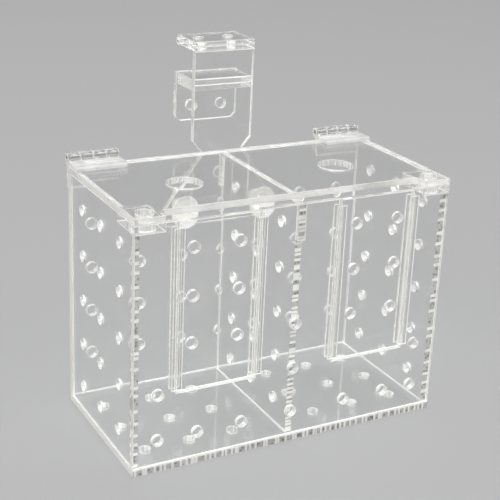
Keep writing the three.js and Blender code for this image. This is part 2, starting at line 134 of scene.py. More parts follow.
# How outlines are read from the solids: what lies in the face, what counts as a side and as a circle,
# which turns in degrees belong to a curve, and how uneven the sides of a curve may be
FLAT_WITHIN = 0.01 * MM
SHORTEST_SIDE = 0.05 * MM
FEWEST_ROUND_SIDES = 12
LEAST_ROUNDNESS = 0.97
SLIGHT_TURN = (2.0, 36.0)
CURVE_STEPS = 4
UNEVEN_SIDES = 4

# How near a hole's edge its wall and corner lie, and how near each other two points are joined
HOLE_REACH = 0.5 * MM
WELD = 0.002 * MM

# Edges that turn more than this, in degrees, show as sharp
SHEET_CREASE = 20
MOULDED_CREASE = 25
TURNED_CREASE = 50

# Hinge leaves: their plates, the grooves across the lid's plate, and the knuckles. A knuckle's root
# starts inside the plate, and lies a little within its top and rear faces.
LEAF_PLATE = 2.5 * MM
LEAF_CHAMFER = 1.0 * MM
LEAF_INSET = 0.02 * MM
GROOVES_FROM_REAR = (4.2 * MM, 7.4 * MM)
GROOVE_HALF_WIDTH = 0.55 * MM
GROOVE_DEPTH = 0.8 * MM
KNUCKLES = 4
KNUCKLE_GAP = 0.1 * MM
KNUCKLE_SUNK = 0.3 * MM
KNUCKLE_SHY = 0.2 * MM
LID_ROOT = 3 * MM
BACK_ROOT = 5 * MM
BACK_LEAF_DROP = 0.25 * MM
LID_KNUCKLE_ARC = range(-112, 207, 8)
BACK_KNUCKLE_ARC = range(-48, 184, 7)
BORE_CLEARANCE = 0.25 * MM
ROUND_STEPS = 32

# Shape of a pin's domed end, as shares of its radius and of the dome's height
DOME_SHOULDER_SHARES = (0.6, 0.25)

# Suction cup: radius and distance back from the lip, in millimetres
CUP_HOLLOW = [
    (0.0, 1.7), (1.4, 1.68), (2.9, 1.55), (4.3, 1.27), (4.6, 1.02), (4.9, 0.98), (5.2, 1.08),
    (6.5, 0.75), (7.9, 0.3), (8.5, 0.06)]
CUP_LIP = [(8.8, 0.02), (8.96, 0.14), (9.0, 0.32), (8.9, 0.55), (8.6, 0.8)]
CUP_BACK = [
    (7.8, 1.3), (6.8, 1.95), (5.9, 2.7), (5.2, 3.4), (4.7, 3.85), (4.3, 4.1), (3.9, 4.2), (2.9, 4.22)]
CUP_NECK = [(2.8, 4.6), (2.8, 12.6)]
CUP_HEAD = [
    (3.0, 12.8), (4.3, 12.82), (4.55, 12.95), (4.6, 13.3), (4.5, 14.0), (4.1, 15.1), (3.4, 16.0),
    (2.5, 16.5), (1.3, 16.7), (0.0, 16.74)]
# Share of its solid's radius that a cup fills
CUP_FIT = 0.999

# Floor: radius of the flat part, radius of the bend round it, height of the rim, and steps
FLOOR_FLAT = 2.8
FLOOR_BEND = 0.9
FLOOR_RIM = 1.8
FLOOR_DROP = 0.3 * MM
FLOOR_SEGMENTS = 96
FLOOR_BEND_STEPS = 12

# Lamps: place, what they point at, width and height, and watts
BOX_MIDDLE = (0.0, 0.0, 0.1)
LAMPS = {
    "top_softbox": ((-0.2, 0.1, 3.0), (0.0, 0.3, 0.0), (2.6, 2.2), 20.0),
    "left_softbox": ((-2.0, -1.1, 1.95), BOX_MIDDLE, (1.3, 1.1), 43.0),
    "right_softbox": ((1.1, -1.7, 1.9), BOX_MIDDLE, (1.2, 1.0), 20.0),
    "back_softbox": ((0.6, 1.1, 2.6), BOX_MIDDLE, (1.2, 1.0), 14.0),
}
WORLD_LIGHT = 0.1

# Camera: its place, its azimuth, elevation and roll in degrees, and its lens and sensor in millimetres
EYE = (-0.3199, -0.5734, 0.3538)
VIEW_ANGLES = (-29.36, 19.93, 2.70)
LENS, SENSOR = 84.65, 36.0
SHIFT = (-0.0236, -0.0392)
CLIP = (0.01, 50.0)

# Light bounces, enough to see through every sheet from any side
BOUNCES = {
    "max_bounces": 32,
    "transmission_bounces": 32,
    "transparent_max_bounces": 64,
    "glossy_bounces": 8,
    "diffuse_bounces": 4,
}

# Parts of a colour that a user may set: red, green, blue and alpha
TINT_RANGE = {"size": 4, "min": 0.0, "max": 1.0}


# Sizes and finishes that a user would change
class SheetSizes(bpy.types.PropertyGroup):
    edge_break: FloatProperty(
        name="Edge break", description="Width of the small chamfer round every cut edge",
        default=0.3 * MM, min=0.05 * MM, max=0.6 * MM, precision=5, unit="LENGTH")
    joint_gap: FloatProperty(
        name="Joint gap", description="Clearance that each sheet leaves on every side at its joints",
        default=0.03 * MM, min=0.0, max=0.2 * MM, precision=5, unit="LENGTH")
    hole_segments: IntProperty(
        name="Hole segments", description="Straight steps round each drilled hole",
        default=48, min=16, max=96)


class MouldedSizes(bpy.types.PropertyGroup):
    hinge_round: FloatProperty(
        name="Hinge rounding", description="Radius of the moulded edges of the hinge leaves",
        default=0.35 * MM, min=0.1 * MM, max=0.8 * MM, precision=5, unit="LENGTH")
    pin_dome: FloatProperty(
        name="Pin dome", description="Height of the rounded ends of the hinge pins",
        default=0.4 * MM, min=0.1 * MM, max=1.0 * MM, precision=5, unit="LENGTH")
    cup_segments: IntProperty(
        name="Cup segments", description="Steps round each suction cup",
        default=72, min=24, max=128)


class Finishes(bpy.types.PropertyGroup):
    sheet_tint: FloatVectorProperty(
        name="Sheet tint", description="Colour that light takes on through a clear sheet",
        default=(0.98, 0.982, 0.978, 1.0), subtype="COLOR", **TINT_RANGE)
    cut_edge: FloatVectorProperty(
        name="Cut edge", description="Colour of the frosted, cut edges",
        default=(0.95, 0.935, 0.9, 1.0), subtype="COLOR", **TINT_RANGE)
    clean_edge: FloatVectorProperty(
        name="Clean edge", description="Colour of the plain edges that one sees into",
        default=(0.97, 0.97, 0.96, 1.0), subtype="COLOR", **TINT_RANGE)
    # Dark grey painted in as the shade seen through the clear stretches of a cut edge
    clear_edge_painted_shade: FloatVectorProperty(
        name="Clear edge", description="Colour of the stretches of a cut edge that stayed clear",
        default=(0.25, 0.25, 0.24, 1.0), subtype="COLOR", **TINT_RANGE)
    hinge: FloatVectorProperty(
        name="Hinge plastic", description="Colour of the milky moulded hinges",
        default=(0.9, 0.9, 0.89, 1.0), subtype="COLOR", **TINT_RANGE)
    silicone: FloatVectorProperty(
        name="Silicone", description="Colour of the milky suction cups",
        default=(0.92, 0.9, 0.85, 1.0), subtype="COLOR", **TINT_RANGE)
    floor: FloatVectorProperty(
        name="Floor", description="Colour of the plain pale floor",
        default=(0.5, 0.5, 0.505, 1.0), subtype="COLOR", **TINT_RANGE)


def sheet_sizes():
    return bpy.context.scene.breeding_box_sheet


def moulded_sizes():
    return bpy.context.scene.breeding_box_moulded


def finishes():
    return bpy.context.scene.breeding_box_finishes


# Places of the frame's nodes
def span(node, axis):
    """The two ends of a node along an axis."""
    low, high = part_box(node)
    return low[axis], high[axis]


def middle_of(node):
    low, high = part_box(node)
    return [(low[i] + high[i]) / 2 for i in (X, Y, Z)]


# Shader building blocks
def put(value, socket):
    """Links a socket to the value where that is a socket too, and sets it otherwise."""
    if isinstance(value, bpy.types.NodeSocket):
        socket.id_data.links.new(value, socket)
    else:
        socket.default_value = value


def fill(node, **values):
    """Puts values or sockets on a node's inputs, by their names with _ for each space."""
    for name, value in values.items():
        put(value, node.inputs[name.replace("_", " ")])


def add_node(tree, kind, **settings):
    """Adds a shader node. A setting is an attribute of the node, or else goes on its input."""
    made = tree.nodes.new(kind)
    for name, value in settings.items():
        if hasattr(made, name):
            setattr(made, name, value)
        else:
            fill(made, **{name: value})
    return made


def maths(tree, operation, *terms):
    """The result of a Math node."""
    made = add_node(tree, "ShaderNodeMath", operation=operation)
    for term, socket in zip(terms, made.inputs):
        put(term, socket)
    return made.outputs["Value"]


def along(tree, place, direction):
    """How far a place lies along a direction."""
    made = add_node(tree, "ShaderNodeVectorMath", operation="DOT_PRODUCT")
    put(place, made.inputs[0])
    put(direction, made.inputs[1])
    return made.outputs["Value"]


def remap(tree, value, low, high, start=0.0, end=1.0):
    """The value's place between low and high, spread from start to end."""
    made = add_node(
        tree, "ShaderNodeMapRange", Value=value, From_Min=low, From_Max=high, To_Min=start, To_Max=end)
    return made.outputs["Result"]


def mixed(tree, kind, share, a, b):
    """A mix of two colours or of two numbers."""
    return add_node(tree, "ShaderNodeMix", data_type=kind, Factor=share, A=a, B=b).outputs["Result"]


def noise(tree, place, scale, detail, **settings):
    made = add_node(tree, "ShaderNodeTexNoise", Vector=place, Scale=scale, Detail=detail, **settings)
    return made.outputs["Fac"]


def line_noise(tree, distance, scale, detail):
    """Noise that changes along one line only."""
    made = add_node(
        tree, "ShaderNodeTexNoise", noise_dimensions="1D", W=distance, Scale=scale, Detail=detail)
    return made.outputs["Fac"]


def cells(tree, place, scale):
    """Distance from the middle of the nearest cell."""
    return add_node(tree, "ShaderNodeTexVoronoi", Vector=place, Scale=scale).outputs["Distance"]


def start_group(name, inputs, outputs):
    """A shader node group with named inputs and outputs, its input sockets and its output node."""
    group = bpy.data.node_groups.new(name, "ShaderNodeTree")
    for label, kind, value in inputs:
        socket = group.interface.new_socket(label, in_out="INPUT", socket_type=kind)
        if value is not None:
            socket.default_value = value
    for label, kind in outputs:
        group.interface.new_socket(label, in_out="OUTPUT", socket_type=kind)
    return group, group.nodes.new("NodeGroupInput").outputs, group.nodes.new("NodeGroupOutput")


# What both surface groups put out
SURFACE_OUTPUTS = [
    ("Color", "NodeSocketColor"),
    ("Roughness", "NodeSocketFloat"),
    ("Height", "NodeSocketFloat"),
]


def handled_surface_group():
    """Finger smudges, dust and faint waves on a smooth moulded or polished face."""
    if "handled_surface" in bpy.data.node_groups:
        return bpy.data.node_groups["handled_surface"]
    inputs = [
        ("Vector", "NodeSocketVector", None),
        ("Clean Tint", "NodeSocketColor", (1.0, 1.0, 1.0, 1.0)),
        ("Smudged Tint", "NodeSocketColor", (0.9, 0.9, 0.9, 1.0)),
        ("Clean Roughness", "NodeSocketFloat", 0.02),
        ("Smudged Roughness", "NodeSocketFloat", 0.12),
        ("Smudge Scale", "NodeSocketFloat", 28.0),
    ]
    group, given, end = start_group("handled_surface", inputs, SURFACE_OUTPUTS)
    place = given["Vector"]
    smears = noise(group, place, given["Smudge Scale"], detail=4.0, Roughness=0.55, Distortion=0.6)
    smudges = remap(group, smears, low=0.5, high=0.72)
    specks = remap(group, cells(group, place, scale=420.0), low=0.16, high=0.08)
    dusty_spots = remap(group, noise(group, place, scale=130.0, detail=1.0), low=0.66, high=0.72)
    dust = maths(group, "MULTIPLY", specks, dusty_spots)
    dirt = maths(group, "MAXIMUM", smudges, dust)
    fill(
        end,
        Color=mixed(group, "RGBA", dirt, given["Clean Tint"], given["Smudged Tint"]),
        Roughness=mixed(group, "FLOAT", dirt, given["Clean Roughness"], given["Smudged Roughness"]),
        Height=noise(group, place, scale=45.0, detail=1.0))
    return group


def cut_edge_group():
    """A cut face: chalky lengths, clear lengths with bright rungs across the sheet, and small bubbles."""
    if "cut_edge" in bpy.data.node_groups:
        return bpy.data.node_groups["cut_edge"]
    inputs = [
        ("Vector", "NodeSocketVector", None),
        ("Run", "NodeSocketVector", (1.0, 0.0, 1.0)),
        ("Across", "NodeSocketVector", (0.0, 1.0, 0.0)),
        ("Middle", "NodeSocketFloat", 0.0),
        ("Half Thickness", "NodeSocketFloat", 2.0 * MM),
        ("Chalky", "NodeSocketColor", (0.95, 0.95, 0.95, 1.0)),
        ("Clear", "NodeSocketColor", (0.4, 0.4, 0.4, 1.0)),
        ("Rungs per Metre", "NodeSocketFloat", 150.0),
        ("Rung Width", "NodeSocketFloat", 0.2),
        ("Chalky Share", "NodeSocketFloat", 0.5),
        ("Rims", "NodeSocketFloat", 0.5),
    ]
    group, given, end = start_group("cut_edge", inputs, SURFACE_OUTPUTS)
    place = given["Vector"]

    # Rungs across the sheet, each with a short fade at its two sides
    fade_share, fade_least = 1.35, 0.02
    count = maths(group, "MULTIPLY", along(group, place, given["Run"]), given["Rungs per Metre"])
    rung = add_node(
        group, "ShaderNodeTexVoronoi", voronoi_dimensions="1D", W=count, Scale=1.0, Randomness=0.75)
    fade_end = maths(group, "MULTIPLY_ADD", given["Rung Width"], fade_share, fade_least)
    rungs = remap(group, rung.outputs["Distance"], given["Rung Width"], fade_end, start=1.0, end=0.0)

    # Chalky lengths, which cover more of the edge as their share grows
    threshold = remap(group, given["Chalky Share"], low=0.0, high=1.0, start=0.72, end=0.28)
    over = maths(group, "SUBTRACT", line_noise(group, count, scale=0.42, detail=2.0), threshold)
    chalk = remap(group, over, low=-0.02, high=0.02)

    # Bright rims at the two sides of the edge, broken into stretches that differ between the sides
    side_shift = 9.0
    off_middle = maths(group, "SUBTRACT", along(group, place, given["Across"]), given["Middle"])
    outward = maths(group, "DIVIDE", off_middle, given["Half Thickness"])
    near_side = remap(group, maths(group, "ABSOLUTE", outward), low=0.6, high=0.8)
    shifted = maths(group, "MULTIPLY_ADD", outward, side_shift, count)
    stretches = remap(group, line_noise(group, shifted, scale=0.7, detail=1.0), low=0.44, high=0.54)
    rims = maths(group, "MULTIPLY", maths(group, "MULTIPLY", near_side, stretches), given["Rims"])

    # Bubbles show faintly between the rungs
    bubbles = remap(group, cells(group, place, scale=420.0), low=0.3, high=0.5, start=0.0, end=0.45)
    bright = maths(group, "MAXIMUM", maths(group, "MAXIMUM", rungs, chalk), rims)
    lit = maths(group, "MAXIMUM", bright, bubbles)
    # The Clear colour is a painted dark grey that stands for the shade seen through the clear lengths
    fill(
        end,
        Color=mixed(group, "RGBA", lit, given["Clear"], given["Chalky"]),
        Roughness=remap(group, lit, low=0.0, high=1.0, start=0.12, end=0.4),
        Height=lit)
    return group


def start_material(name):
    made = bpy.data.materials.new(name)
    made.use_nodes = True
    return made, made.node_tree, made.node_tree.nodes["Principled BSDF"]


def object_place(tree):
    return add_node(tree, "ShaderNodeTexCoord").outputs["Object"]


def dimmed(colour, share):
    return [share * part for part in colour[:3]] + [1.0]


def let_lamps_through(tree, passed):
    """Lets lamps shine through a clear piece, so that it doesn't cast a solid shadow."""
    either = add_node(tree, "ShaderNodeMixShader")
    put(add_node(tree, "ShaderNodeLightPath").outputs["Is Shadow Ray"], either.inputs[0])
    put(tree.nodes["Principled BSDF"].outputs["BSDF"], either.inputs[1])
    put(add_node(tree, "ShaderNodeBsdfTransparent", Color=passed).outputs["BSDF"], either.inputs[2])
    fill(tree.nodes["Material Output"], Surface=either.outputs["Shader"])


def bumps(tree, height, distance, strength):
    """The normals that a height gives."""
    made = add_node(tree, "ShaderNodeBump", Height=height, Distance=distance, Strength=strength)
    return made.outputs["Normal"]


# Materials
def handled_material(name, tint, smudged, roughness, smudge_scale, clearness, index, bump):
    """Smooth plastic or silicone with smudges and dust on it.

    smudged is the share of the tint that a smudge keeps, roughness is that of clean and of smudged
    places, and bump is the distance and the strength of the faint waves.
    """
    made, tree, principled = start_material(name)
    surface = add_node(
        tree, "ShaderNodeGroup", node_tree=handled_surface_group(), Vector=object_place(tree),
        Clean_Tint=tint, Smudged_Tint=dimmed(tint, smudged), Clean_Roughness=roughness[0],
        Smudged_Roughness=roughness[1], Smudge_Scale=smudge_scale)
    fill(
        principled, Base_Color=surface.outputs["Color"], Roughness=surface.outputs["Roughness"],
        Normal=bumps(tree, surface.outputs["Height"], *bump), Transmission_Weight=clearness, IOR=index)
    return made


def clear_material(name, passed, **finish):
    """The clear material of that name, made the first time that it is asked for."""
    if name not in bpy.data.materials:
        made = handled_material(name, **finish)
        let_lamps_through(made.node_tree, passed)
    return bpy.data.materials[name]


def polished_face():
    """Clear polished acrylic."""
    return clear_material(
        "acrylic_polished_face", BEHIND_FACE, tint=finishes().sheet_tint, smudged=0.965,
        roughness=(0.02, 0.05), smudge_scale=28.0, clearness=1.0, index=ACRYLIC_INDEX,
        bump=(0.05 * MM, 0.04))


def smooth_edge(name, clearness, roughness, tint):
    """A plain cut edge, with roughness that wanders between two values."""
    return clear_material(
        name, BEHIND_EDGE, tint=tint, smudged=0.94, roughness=roughness, smudge_scale=60.0,
        clearness=clearness, index=ACRYLIC_INDEX, bump=(0.01 * MM, 0.05))


def satin_edge():
    """A scraped cut edge, which scatters the light a little."""
    return smooth_edge(
        "acrylic_satin_edge", clearness=0.4, roughness=(0.22, 0.4), tint=finishes().cut_edge)


def hazy_edge():
    """A cut edge that was smoothed without being polished."""
    return smooth_edge(
        "acrylic_hazy_edge", clearness=0.68, roughness=(0.1, 0.3), tint=finishes().clean_edge)


def polished_edge():
    """A cut edge that was flamed or buffed until one sees into it."""
    return smooth_edge(
        "acrylic_polished_edge", clearness=0.88, roughness=(0.03, 0.12), tint=finishes().clean_edge)


def rough_edge(node, axis, kind, marks, clearness):
    """Sawn or glued edge of one sheet, with its rungs and lengths laid off along the edge."""
    name = f"{node}_{kind}_edge"
    if name in bpy.data.materials:
        return bpy.data.materials[name]
    made, tree, principled = start_material(name)
    low, high = span(node, axis)
    rungs, width, chalky_share, rims = marks
    surface = add_node(
        tree, "ShaderNodeGroup", node_tree=cut_edge_group(), Vector=object_place(tree),
        Run=tuple(0.0 if i == axis else 1.0 for i in (X, Y, Z)),
        Across=tuple(1.0 if i == axis else 0.0 for i in (X, Y, Z)),
        Middle=(low + high) / 2, Half_Thickness=(high - low) / 2,
        Chalky=finishes().cut_edge, Clear=finishes().clear_edge_painted_shade,
        Rungs_per_Metre=rungs, Rung_Width=width, Chalky_Share=chalky_share, Rims=rims)
    fill(
        principled, Base_Color=surface.outputs["Color"], Roughness=surface.outputs["Roughness"],
        Normal=bumps(tree, surface.outputs["Height"], distance=0.04 * MM, strength=0.3),
        Transmission_Weight=clearness, IOR=ACRYLIC_INDEX)
    let_lamps_through(tree, BEHIND_FROST)
    return made


def front_edge(node, axis):
    """The front edge of a sheet: rungs and glue marks on some, hazy on the lid, else as its others."""
    if node in GLUED_MARKS:
        return rough_edge(node, axis, "glued", GLUED_MARKS[node], clearness=0.15)
    return hazy_edge() if node in LID else plain_edge(node)


def end_edge(node, axis):
    """The left or right edge of a sheet: dull white on some, satin on others, else as its others."""
    if node in DULL_ENDED:
        return rough_edge(node, axis, "dull", DULL_MARKS, clearness=0.1)
    return satin_edge() if node in SATIN_ENDED else plain_edge(node)


def plain_edge(node):
    return polished_edge() if node in POLISHED else satin_edge()


def painted_glint_corner():
    """The fine broken corner between a face and a cut edge, painted near white and nearly opaque as a glint
    line.
    """
    if "acrylic_painted_glint_corner" in bpy.data.materials:
        return bpy.data.materials["acrylic_painted_glint_corner"]
    made, tree, principled = start_material("acrylic_painted_glint_corner")
    edge = finishes().cut_edge
    # Painted glint: the chamfer takes the near-white cut edge colour with little clearness, and nicks dim it
    # here and there
    wear = noise(tree, object_place(tree), scale=260.0, detail=3.0)
    nicks = remap(tree, wear, low=0.3, high=0.45)
    fill(
        principled, Base_Color=mixed(tree, "RGBA", nicks, dimmed(edge, 0.85), edge),
        Roughness=0.3, Transmission_Weight=0.1)
    let_lamps_through(tree, BEHIND_FROST)
    return made


def drilled_wall(axis):
    """The wall of a round hole, with frosted and clear streaks that the cutter left along the hole."""
    name = f"acrylic_drilled_wall_{'xyz'[axis]}"
    if name in bpy.data.materials:
        return bpy.data.materials[name]
    made, tree, principled = start_material(name)
    drawn_out = tuple(0.12 if i == axis else 1.0 for i in (X, Y, Z))
    place = add_node(tree, "ShaderNodeMapping", Vector=object_place(tree), Scale=drawn_out)
    streaks = noise(tree, place.outputs["Vector"], scale=420.0, detail=2.0, Roughness=0.6)
    milky = remap(tree, streaks, low=0.4, high=0.56)
    clear, frosted = (0.74, 0.74, 0.73, 1.0), (0.98, 0.98, 0.96, 1.0)
    fill(
        principled, Base_Color=mixed(tree, "RGBA", milky, clear, frosted),
        Roughness=remap(tree, streaks, low=0.4, high=0.6, start=0.12, end=0.45),
        Normal=bumps(tree, streaks, distance=0.05 * MM, strength=0.35),
        Transmission_Weight=0.28, IOR=ACRYLIC_INDEX)
    let_lamps_through(tree, BEHIND_EDGE)
    return made


def hinge_material(name, clearness, passed):
    """Clear moulded plastic that looks white where it is thick and worked."""
    return clear_material(
        name, passed, tint=finishes().hinge, smudged=0.8, roughness=(0.03, 0.14),
        smudge_scale=120.0, clearness=clearness, index=HINGE_INDEX, bump=(0.06 * MM, 0.3))


def pin_material():
    """Drawn steel pin."""
    if "hinge_pin_steel" in bpy.data.materials:
        return bpy.data.materials["hinge_pin_steel"]
    made, tree, principled = start_material("hinge_pin_steel")
    grain = noise(tree, object_place(tree), scale=600.0, detail=3.0)
    dark, light = (0.3, 0.3, 0.3, 1.0), (0.45, 0.44, 0.43, 1.0)
    fill(
        principled, Base_Color=mixed(tree, "RGBA", grain, dark, light),
        Roughness=remap(tree, grain, low=0.0, high=1.0, start=0.22, end=0.42), Metallic=1.0)
    return made


def silicone_material():
    """Milky moulded silicone, a little cloudy and dusty."""
    if "cup_silicone" in bpy.data.materials:
        return bpy.data.materials["cup_silicone"]
    made = handled_material(
        "cup_silicone", tint=finishes().silicone, smudged=0.9, roughness=(0.32, 0.55),
        smudge_scale=190.0, clearness=0.0, index=SILICONE_INDEX, bump=(0.05 * MM, 0.3))
    fill(
        made.node_tree.nodes["Principled BSDF"], Subsurface_Weight=0.8,
        Subsurface_Radius=(1.0, 0.9, 0.8), Subsurface_Scale=3.0 * MM)
    return made


def floor_material():
    """Pale paper that glows a little, so that clear sheet has something even to show."""
    made, tree, principled = start_material("floor_paper")
    colour = finishes().floor
    grain = noise(tree, object_place(tree), scale=220.0, detail=2.0)
    fill(
        principled, Emission_Color=mixed(tree, "RGBA", grain, dimmed(colour, 0.985), colour),
        Emission_Strength=0.6, Base_Color=dimmed(colour, 0.4), Roughness=0.9,
        Specular_IOR_Level=0.1)
    return made


# Outlines, taken from the frame's own solids
def face_loops(node, axis):
    """The edge loops of a node's flat face on the high side of an axis, as lists of points in it."""
    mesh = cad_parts[node].data
    high = span(node, axis)[1]
    across, up = OUTLINE_AXES[axis]
    steps = set()
    places = {}
    for face in mesh.polygons:
        corners = [mesh.vertices[i].co for i in face.vertices]
        if min(corner[axis] for corner in corners) < high - FLAT_WITHIN:
            continue
        keys = [(round(corner[across] / MM, 3), round(corner[up] / MM, 3)) for corner in corners]
        for key, corner in zip(keys, corners):
            places[key] = (corner[across], corner[up])
        steps.update(zip(keys, keys[1:] + keys[:1]))
    following = {a: b for a, b in steps if (b, a) not in steps}
    loops = []
    while following:
        first, key = next(iter(following.items()))
        loop = [places[first]]
        following.pop(first)
        while key != first:
            loop.append(places[key])
            key = following.pop(key)
        loops.append([
            point for i, point in enumerate(loop) if math.dist(point, loop[i - 1]) > SHORTEST_SIDE])
    return loops


def signed_area(loop):
    return sum(a[0] * b[1] - b[0] * a[1] for a, b in zip(loop, loop[1:] + loop[:1])) / 2


def circle_of(loop):
    """The middle and radius of a loop that stands for a round hole, or None."""
    middle = [sum(point[i] for point in loop) / len(loop) for i in (0, 1)]
    reach = [math.dist(middle, point) for point in loop]
    if len(loop) < FEWEST_ROUND_SIDES or min(reach) < LEAST_ROUNDNESS * max(reach):
        return None
    return middle, max(reach)


def arc(middle, radius, turns):
    """Points round a middle, at turns in radians."""
    return [(middle[0] + radius * math.cos(t), middle[1] + radius * math.sin(t)) for t in turns]


def round_loop(middle, radius, segments):
    return arc(middle, radius, [2 * math.pi * i / segments for i in range(segments)])


def turn_at(before, here, after):
    """How far an outline turns at a corner, in degrees."""
    one = Vector((here[0] - before[0], here[1] - before[1]))
    two = Vector((after[0] - here[0], after[1] - here[1]))
    return math.degrees(one.angle(two, 0.0))


def smoothed(loop):
    """The loop with a smooth curve through each run of slight turns, and its true corners kept."""
    count = len(loop)
    turns = [turn_at(loop[i - 1], loop[i], loop[(i + 1) % count]) for i in range(count)]
    soft = [SLIGHT_TURN[0] < turn < SLIGHT_TURN[1] for turn in turns]
    result = []
    for i in range(count):
        a, b = loop[i], loop[(i + 1) % count]
        result.append(a)
        before, after = loop[i - 1], loop[(i + 2) % count]
        lengths = (math.dist(before, a), math.dist(a, b), math.dist(b, after))
        both_soft = soft[i] and soft[(i + 1) % count]
        if not both_soft or max(lengths) > UNEVEN_SIDES * min(lengths):
            continue
        for step in range(1, CURVE_STEPS):
            result.append(between((before, a, b, after), step / CURVE_STEPS))
    return result


def between(four, t):
    """The point at share t between the middle two of four points, on a smooth curve through them."""
    weights = (
        (-t + 2 * t**2 - t**3) / 2,
        (2 - 5 * t**2 + 3 * t**3) / 2,
        (t + 4 * t**2 - 3 * t**3) / 2,
        (t**3 - t**2) / 2,
    )
    return tuple(sum(weight * point[k] for weight, point in zip(weights, four)) for k in (0, 1))


def sheet_outline(node, axis):
    """The loops of a sheet, with its round holes truly round: the outer loop first."""
    segments = sheet_sizes().hole_segments
    loops = sorted(face_loops(node, axis), key=lambda loop: -abs(signed_area(loop)))
    made = [smoothed(loops[0])]
    for loop in loops[1:]:
        hole = circle_of(loop)
        made.append(round_loop(*hole, segments) if hole else loop)
    return made


# Meshes
def link_object(name, data):
    """Puts an object in the scene, with a mesh, a curve, a lamp or a camera as its data."""
    made = bpy.data.objects.new(name, data)
    bpy.context.scene.collection.objects.link(made)
    return made


def mesh_as_shown(shaper):
    """A mesh of an object with its curve settings and modifiers worked out."""
    bpy.context.view_layer.update()
    return bpy.data.meshes.new_from_object(shaper.evaluated_get(bpy.context.evaluated_depsgraph_get()))


def shade(mesh, crease):
    """Smooth shading, with the edges that turn more than crease degrees left sharp."""
    mesh.shade_smooth()
    mesh.set_sharp_from_angle(angle=math.radians(crease))


def close_up(mesh):
    """Joins the points that lie on each other, and turns every face outward."""
    work = bmesh.new()
    work.from_mesh(mesh)
    bmesh.ops.remove_doubles(work, verts=work.verts, dist=WELD)
    bmesh.ops.recalc_face_normals(work, faces=work.faces)
    if work.calc_volume(signed=True) < 0:
        bmesh.ops.reverse_faces(work, faces=work.faces)
    open_edges = [edge for edge in work.edges if not edge.is_manifold]
    work.to_mesh(mesh)
    work.free()
    if open_edges:
        raise RuntimeError(f"{mesh.name} has {len(open_edges)} open edges")


def cut_from_sheet(name, loops, axis, low, high, edge_break, inset):
    """A mesh from an outline with holes, between two places along an axis, with chamfered edges."""
    curve = bpy.data.curves.new(name, "CURVE")
    curve.dimensions = "2D"
    curve.fill_mode = "BOTH"
    curve.extrude = (high - low) / 2 - inset - edge_break
    curve.bevel_depth = edge_break
    curve.bevel_resolution = 1
    curve.offset = -edge_break - inset
    for i, loop in enumerate(loops):
        outward = signed_area(loop) > 0
        points = loop if outward == (i == 0) else loop[::-1]
        spline = curve.splines.new("POLY")
        spline.points.add(len(points) - 1)
        spline.use_cyclic_u = True
        for point, (across, up) in zip(spline.points, points):
            point.co = (across, up, 0.0, 1.0)
    shaper = link_object(name + "_outline", curve)
    mesh = mesh_as_shown(shaper)
    mesh.name = name
    bpy.data.objects.remove(shaper)
    bpy.data.curves.remove(curve)
    across, up = OUTLINE_AXES[axis]
    middle = (low + high) / 2
    for vertex in mesh.vertices:
        place = Vector()
        place[across], place[up], place[axis] = vertex.co.x, vertex.co.y, vertex.co.z + middle
        vertex.co = place
    close_up(mesh)
    return mesh


def turned(name, profile, segments, start, axis):
    """A mesh turned round an axis, from a profile of radius and distance along that axis."""
    one, two = [i for i in (X, Y, Z) if i != axis]
    work = bmesh.new()
    rings = []
    for radius, distance in profile:
        ring = []
        for i in range(segments if radius > 0 else 1):
            t = 2 * math.pi * i / segments
            place = start.copy()
            place[one] += radius * math.cos(t)
            place[two] += radius * math.sin(t)
            place[axis] += distance
            ring.append(work.verts.new(place))
        rings.append(ring)
    for a, b in zip(rings, rings[1:]):
        for i in range(segments):
            corners = [a[i % len(a)], a[(i + 1) % len(a)], b[(i + 1) % len(b)], b[i % len(b)]]
            unique = list(dict.fromkeys(corners))
            if len(unique) > 2:
                work.faces.new(unique)
    bmesh.ops.recalc_face_normals(work, faces=work.faces)
    mesh = bpy.data.meshes.new(name)
    work.to_mesh(mesh)
    work.free()
    shade(mesh, TURNED_CREASE)
    return mesh


def finish_sheet(mesh, node, axis, holes):
    """Polished material on the two faces of a sheet, and edge materials on its edges and in its holes."""
    across, up = OUTLINE_AXES[axis]
    mesh.materials.clear()
    for material in (
            polished_face(), plain_edge(node), end_edge(node, axis), front_edge(node, axis),
            painted_glint_corner(), drilled_wall(axis)):
        mesh.materials.append(material)
    for face in mesh.polygons:
        place = (face.center[across], face.center[up])
        drilled = any(math.dist(place, middle) < radius + HOLE_REACH for middle, radius in holes)
        tilt = abs(face.normal[axis])
        fore = -face.normal[Y] if axis != Y and not drilled else 0.0
        side = abs(face.normal[X]) if axis != X and not drilled else 0.0
        if tilt > FLAT:
            face.material_index = FACE
        elif fore > LEANING and node in GLUED_MARKS:
            face.material_index = FRONT_EDGE
        elif side > LEANING and node in DULL_ENDED + SATIN_ENDED:
            face.material_index = END_EDGE
        # The chamfers take the painted glint
        elif tilt > LEANING:
            face.material_index = PAINTED_GLINT_CORNER
        elif drilled:
            face.material_index = HOLE_WALL
        else:
            face.material_index = FRONT_EDGE if fore > LEANING else PLAIN_EDGE
    shade(mesh, SHEET_CREASE)


def dress_sheet(node, axis, body):
    """Cuts a sheet again from its solid's outline, and puts it in the solid's place."""
    sizes = sheet_sizes()
    low, high = span(node, axis)
    loops = sheet_outline(node, axis)
    mesh = cut_from_sheet(node + "_cut", loops, axis, low, high, sizes.edge_break, sizes.joint_gap)
    holes = [hole for hole in map(circle_of, loops[1:]) if hole]
    finish_sheet(mesh, node, axis, holes)
    piece = link_object(node + "_cut", mesh)
    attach(piece, body)
    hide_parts(node)


def dress_sheets(table):
    for node, (axis, body) in table.items():
        dress_sheet(node, axis, body)


